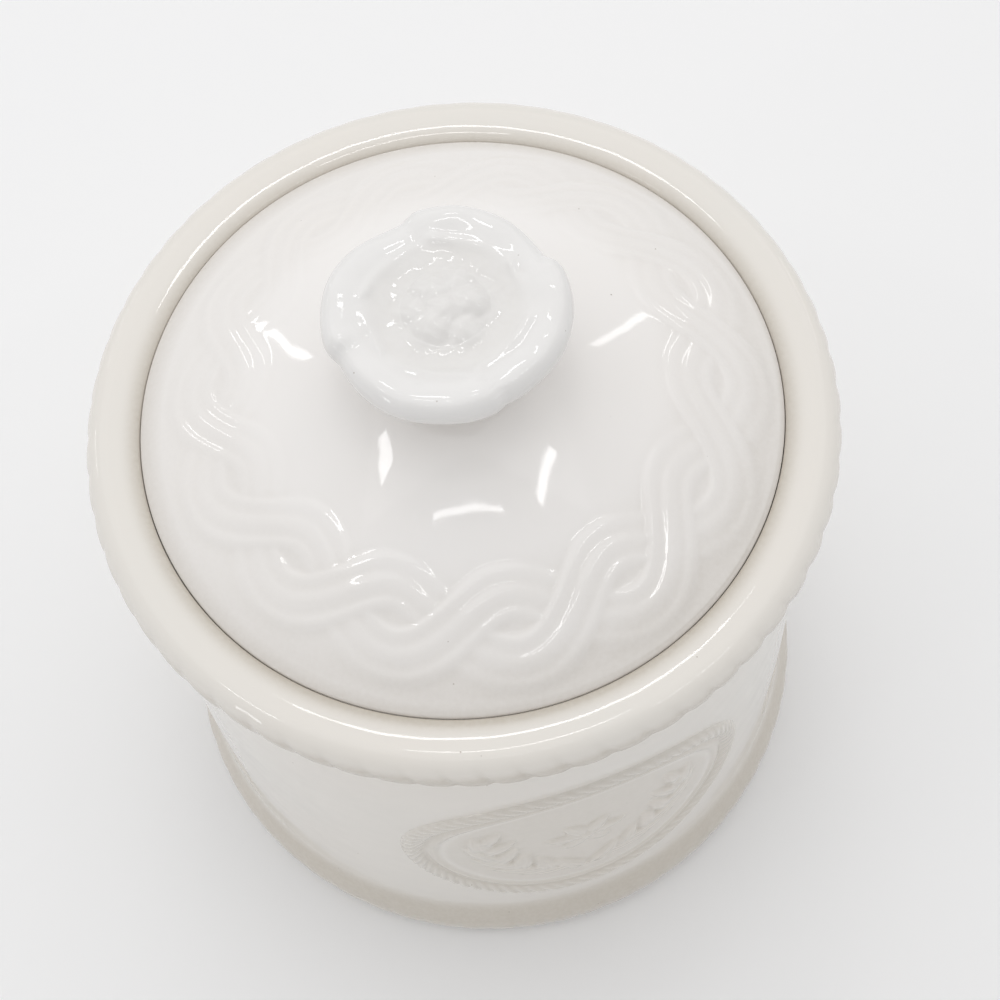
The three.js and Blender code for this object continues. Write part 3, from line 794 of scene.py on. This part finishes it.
# Cycles a metre of the ripple's slow swell and its peel, and of the colour's drift and its grain.
SWELL_SCALE = 42
PEEL_SCALE = 170
DRIFT_SCALE = 16
GRAIN_SCALE = 900
DRIFT_CONTRAST = 2.4
DRIFT_OFFSET = -0.7
GRAIN_SPREAD = 0.5
GRAIN_BASE = 0.75


def new_group(name, inputs, outputs):
    """An empty node group with the given sockets, and its two end nodes."""
    group = bpy.data.node_groups.new(name, "ShaderNodeTree")
    for socket, kind, value in inputs:
        made = group.interface.new_socket(socket, in_out="INPUT", socket_type=kind)
        if value is not None:
            made.default_value = value
    for socket, kind in outputs:
        group.interface.new_socket(socket, in_out="OUTPUT", socket_type=kind)
    return group, group.nodes.new("NodeGroupInput"), group.nodes.new("NodeGroupOutput")


def feed(tree, slot, value):
    """Links a socket to an input, or sets the input to a value. None leaves it as it is."""
    if isinstance(value, bpy.types.NodeSocket):
        tree.links.new(value, slot)
    elif value is not None:
        slot.default_value = value


def math_node(tree, operation, *values, clamp=False):
    """A Math node whose inputs are sockets or numbers, and its output."""
    node = tree.nodes.new("ShaderNodeMath")
    node.operation = operation
    node.use_clamp = clamp
    for slot, value in zip(node.inputs, values):
        feed(tree, slot, value)
    return node.outputs[0]


def mix_colours(tree, share, first, second):
    """A Mix node between two colours, each a socket or a colour, and its output."""
    node = tree.nodes.new("ShaderNodeMix")
    node.data_type = "RGBA"
    for index, value in ((0, share), (6, first), (7, second)):
        feed(tree, node.inputs[index], value)
    return node.outputs[2]


def noise(tree, place, scale, detail):
    """A Noise node at a scale in cycles a metre, and its value from 0 to 1."""
    node = tree.nodes.new("ShaderNodeTexNoise")
    node.inputs["Scale"].default_value = scale
    node.inputs["Detail"].default_value = detail
    tree.links.new(place, node.inputs["Vector"])
    return node.outputs[0]


def speck_group():
    """Iron specks: a dot in some cells of a Voronoi pattern, where the distance to the cell's point
    is small and the cell's own random value is high."""
    group, start, end = new_group(
        "iron_specks",
        [("Place", "NodeSocketVector", None), ("Scale", "NodeSocketFloat", 260.0),
         ("Share", "NodeSocketFloat", 0.1), ("Size", "NodeSocketFloat", 0.06)],
        [("Mask", "NodeSocketFloat")],
    )
    cells = group.nodes.new("ShaderNodeTexVoronoi")
    group.links.new(start.outputs["Place"], cells.inputs["Vector"])
    group.links.new(start.outputs["Scale"], cells.inputs["Scale"])
    pick = group.nodes.new("ShaderNodeSeparateColor")
    group.links.new(cells.outputs["Color"], pick.inputs[0])
    near = math_node(group, "SUBTRACT", start.outputs["Size"], cells.outputs["Distance"])
    dot = math_node(group, "MULTIPLY", near, 30.0, clamp=True)
    chosen = math_node(group, "LESS_THAN", pick.outputs[0], start.outputs["Share"])
    weight = math_node(group, "MULTIPLY", dot, chosen)
    group.links.new(math_node(group, "MULTIPLY", weight, pick.outputs[1]), end.inputs["Mask"])
    return group


def ripple_group():
    """The glaze's skin: a slow swell with a faint, finer one on it."""
    group, start, end = new_group(
        "glaze_ripple",
        [("Place", "NodeSocketVector", None), ("Peel", "NodeSocketFloat", 0.14)],
        [("Height", "NodeSocketFloat")],
    )
    slow = noise(group, start.outputs["Place"], SWELL_SCALE, detail=0)
    fine = noise(group, start.outputs["Place"], PEEL_SCALE, detail=0)
    peel = math_node(group, "MULTIPLY", fine, start.outputs["Peel"])
    group.links.new(math_node(group, "ADD", slow, peel), end.inputs["Height"])
    return group


def tone_group():
    """The glaze's colour: it drifts between a cooler and a warmer tone over the piece, goes to the
    tone of pooled glaze and painted shade where the mask says so, with a fine grain, and shows a
    darker speck here and there."""
    group, start, end = new_group(
        "glaze_tone",
        [("Place", "NodeSocketVector", None), ("Pool", "NodeSocketFloat", 0.0),
         ("Specks", "NodeSocketFloat", 0.0), ("Cool", "NodeSocketColor", None),
         ("Warm", "NodeSocketColor", None), ("Pooled", "NodeSocketColor", None),
         ("Speck", "NodeSocketColor", None)],
        [("Color", "NodeSocketColor")],
    )
    drift = noise(group, start.outputs["Place"], DRIFT_SCALE, detail=3)
    drift = math_node(group, "MULTIPLY_ADD", drift, DRIFT_CONTRAST, DRIFT_OFFSET, clamp=True)
    ground = mix_colours(group, drift, start.outputs["Cool"], start.outputs["Warm"])
    grain = noise(group, start.outputs["Place"], GRAIN_SCALE, detail=2)
    spread = math_node(group, "MULTIPLY_ADD", grain, GRAIN_SPREAD, GRAIN_BASE)
    # The mask mixes in the darker tone, for pooled glaze and for painted shade.
    depth = math_node(group, "MULTIPLY", start.outputs["Pool"], spread, clamp=True)
    pooled_and_shaded = mix_colours(group, depth, ground, start.outputs["Pooled"])
    specked = mix_colours(group, start.outputs["Specks"], pooled_and_shaded, start.outputs["Speck"])
    group.links.new(specked, end.inputs["Color"])
    return group


SPECKS = speck_group()
RIPPLE = ripple_group()
TONE = tone_group()


def place_group(tree, group, **values):
    """A group's node in a material, with sockets linked or set by name."""
    node = tree.nodes.new("ShaderNodeGroup")
    node.node_tree = group
    for name, value in values.items():
        feed(tree, node.inputs[name], value)
    return node.outputs[0]


def read_mask(tree, name):
    """A mask that the piece's own mesh carries."""
    node = tree.nodes.new("ShaderNodeAttribute")
    node.attribute_name = name
    return node.outputs["Fac"]


def glaze(name, cool, warm, pooled_and_shaded, swell=0.5):
    """Glossy stoneware glaze over buff clay. The clay shows where the bare mask says so. The swell
    is the strength of the ripple in the glaze's skin."""
    material = bpy.data.materials.new(name)
    material.use_nodes = True
    tree = material.node_tree
    shader = tree.nodes["Principled BSDF"]
    place = tree.nodes.new("ShaderNodeTexCoord").outputs["Object"]
    bare = read_mask(tree, "bare")
    # The pool mask darkens the colour for pooled glaze and for painted shade.
    colour = place_group(
        tree, TONE, Place=place, Pool=read_mask(tree, "pool_and_shade"),
        Specks=place_group(tree, SPECKS, Place=place),
        Cool=(*cool, 1), Warm=(*warm, 1), Pooled=(*pooled_and_shaded, 1), Speck=SPECK_COLOUR,
    )
    rough = math_node(tree, "MULTIPLY_ADD", bare, CLAY_ADDED_ROUGHNESS, GLAZE_ROUGHNESS)
    bump = tree.nodes.new("ShaderNodeBump")
    bump.inputs["Strength"].default_value = swell
    bump.inputs["Distance"].default_value = RIPPLE_METRES
    feed(tree, bump.inputs["Height"], place_group(tree, RIPPLE, Place=place))
    feed(tree, shader.inputs["Base Color"], mix_colours(tree, bare, colour, CLAY))
    feed(tree, shader.inputs["Roughness"], rough)
    feed(tree, shader.inputs["Normal"], bump.outputs["Normal"])
    feed(tree, shader.inputs["IOR"], GLAZE_IOR)
    return material


# The pooled tone is also the colour of the painted shade.
body_glaze = glaze(
    "cream_glaze",
    cool=(0.81, 0.783, 0.737), warm=(0.83, 0.79, 0.737), pooled_and_shaded=(0.60, 0.551, 0.478), swell=0.9,
)
lid_glaze = glaze(
    "white_glaze",
    cool=(0.91, 0.889, 0.872), warm=(0.915, 0.887, 0.862), pooled_and_shaded=(0.67, 0.63, 0.58),
)
knob_glaze = glaze(
    "knob_white_glaze",
    cool=(0.84, 0.83, 0.82), warm=(0.85, 0.835, 0.82), pooled_and_shaded=(0.68, 0.65, 0.61),
)


def dress(piece, body, nodes, material):
    """Rides a piece on its body, in place of its nodes and its finish."""
    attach(piece, body)
    if nodes:
        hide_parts(*nodes)
    piece.data.materials.append(material)


dress(jar_surface(), "jar", ["canister_body"], body_glaze)
dress(cartouche_surface(), "jar", [], body_glaze)
dress(lid_surface(), "lid", ["lid"], lid_glaze)
dress(knob_surface(), "lid", ["rosette_knob"], knob_glaze)


# Floor, light and camera, in metres and watts

FLOOR_HALF = 6
FLOOR_COLOUR = (0.94, 0.94, 0.945, 1)
FLOOR_ROUGHNESS = 0.75
# Each lamp: its two ends, its width and its power.
LAMPS = {
    "ceiling": ((-1, 0.4, 1.3), (1, 0.4, 1.3), 2, 5.5),
    "overhead": ((-0.1, 0.45, 1.25), (0.1, 0.45, 1.25), 0.06, 0.3),
    "zenith": ((-0.12, 0.12, 1.25), (0.12, 0.12, 1.25), 0.05, 0.25),
    "left_strip": ((-0.631, -0.089, 1.077), (-0.547, -0.255, 1.101), 0.045, 0.18),
    "right_strip": ((0.588, -0.192, 1.088), (0.411, -0.413, 1.115), 0.022, 0.15),
    "front_strip": ((-0.238, -0.479, 1.142), (0.212, -0.485, 1.145), 0.015, 0.14),
    "low_left_strip": ((-1.05, -0.75, 0.3), (-1.05, -0.72, 0.55), 0.12, 0.4),
    "back_left_strip": ((-0.692, 0.865, 0.426), (-0.754, 0.680, 0.647), 0.022, 0.1),
    "back_right_strip": ((0.793, 0.540, 0.745), (0.774, 0.777, 0.473), 0.02, 0.1),
    "far_left_strip": ((-0.925, 0.57, 0.515), (-0.924, 0.429, 0.657), 0.03, 0.1),
}
SKY_STRENGTH = 0.73
# The sky is darker low at the front: how far, round which direction, from which cosine of the angle
# to it, and how steeply.
DIM_DEPTH = 0.16
DIM_TOWARD = (0.16, -0.89, 0.42)
DIM_COSINE = 0.35
DIM_STEEPNESS = 2.0
CAMERA_RIGHT = (0.99321, -0.10542, -0.04918)
CAMERA_UP = (0.11632, 0.90008, 0.41991)
CAMERA_BACK = (0, -0.42278, 0.90623)
CAMERA_PLACE = (0.00628, -0.21992, 0.56807)
SENSOR_MM = 36
LENS_MM = 79.2
CAMERA_REACH = 50


def floor():
    """A pale tabletop, wide enough to fill any view."""
    half = FLOOR_HALF
    mesh = bpy.data.meshes.new("floor")
    corners = [(-half, -half, 0), (half, -half, 0), (half, half, 0), (-half, half, 0)]
    mesh.from_pydata(corners, [], [(0, 1, 2, 3)])
    piece = bpy.data.objects.new("floor", mesh)
    bpy.context.scene.collection.objects.link(piece)
    material = bpy.data.materials.new("pale_tabletop")
    material.use_nodes = True
    shader = material.node_tree.nodes["Principled BSDF"]
    shader.inputs["Base Color"].default_value = FLOOR_COLOUR
    shader.inputs["Roughness"].default_value = FLOOR_ROUGHNESS
    mesh.materials.append(material)


def strip_lamp(name, start, end, width, power):
    """A lamp between two points, turned about its own length to face the lid."""
    start, end = Vector(start), Vector(end)
    middle = (start + end) / 2
    along = (end - start).normalized()
    away = (middle - Vector((0, 0, lid_high[2] * MM))).normalized()
    across = away.cross(along).normalized()
    away = along.cross(across).normalized()
    lamp = bpy.data.lights.new(name, "AREA")
    lamp.shape = "RECTANGLE"
    lamp.size = (end - start).length
    lamp.size_y = width
    lamp.energy = power
    holder = bpy.data.objects.new(name, lamp)
    turned = Matrix((along, across, away)).transposed().to_4x4()
    holder.matrix_world = Matrix.Translation(middle) @ turned
    bpy.context.scene.collection.objects.link(holder)


def lights():
    """A tent of soft light: a sky that dims low at the front, one broad ceiling towards the back,
    and narrow strips that draw the bright bars on the glaze."""
    world = bpy.data.worlds.new("tent")
    world.use_nodes = True
    tree = world.node_tree
    toward = tree.nodes.new("ShaderNodeVectorMath")
    toward.operation = "DOT_PRODUCT"
    feed(tree, toward.inputs[0], tree.nodes.new("ShaderNodeTexCoord").outputs["Generated"])
    feed(tree, toward.inputs[1], DIM_TOWARD)
    near = math_node(tree, "SUBTRACT", toward.outputs["Value"], DIM_COSINE)
    dim = math_node(tree, "MULTIPLY", near, DIM_STEEPNESS, clamp=True)
    background = tree.nodes["Background"]
    feed(tree, background.inputs["Color"], (1, 1, 1, 1))
    sky = math_node(tree, "MULTIPLY_ADD", dim, -DIM_DEPTH, SKY_STRENGTH)
    feed(tree, background.inputs["Strength"], sky)
    bpy.context.scene.world = world
    for name, lamp in LAMPS.items():
        strip_lamp(name, *lamp)


def camera():
    """The photograph's view, solved from the rim, the base and the lid."""
    data = bpy.data.cameras.new("camera")
    data.sensor_width = SENSOR_MM
    data.lens = LENS_MM
    data.clip_end = CAMERA_REACH
    holder = bpy.data.objects.new("camera", data)
    turned = Matrix((CAMERA_RIGHT, CAMERA_UP, CAMERA_BACK)).transposed().to_4x4()
    holder.matrix_world = Matrix.Translation(CAMERA_PLACE) @ turned
    bpy.context.scene.collection.objects.link(holder)
    bpy.context.scene.camera = holder


floor()
lights()
camera()
bpy.context.scene.view_settings.view_transform = "Standard"
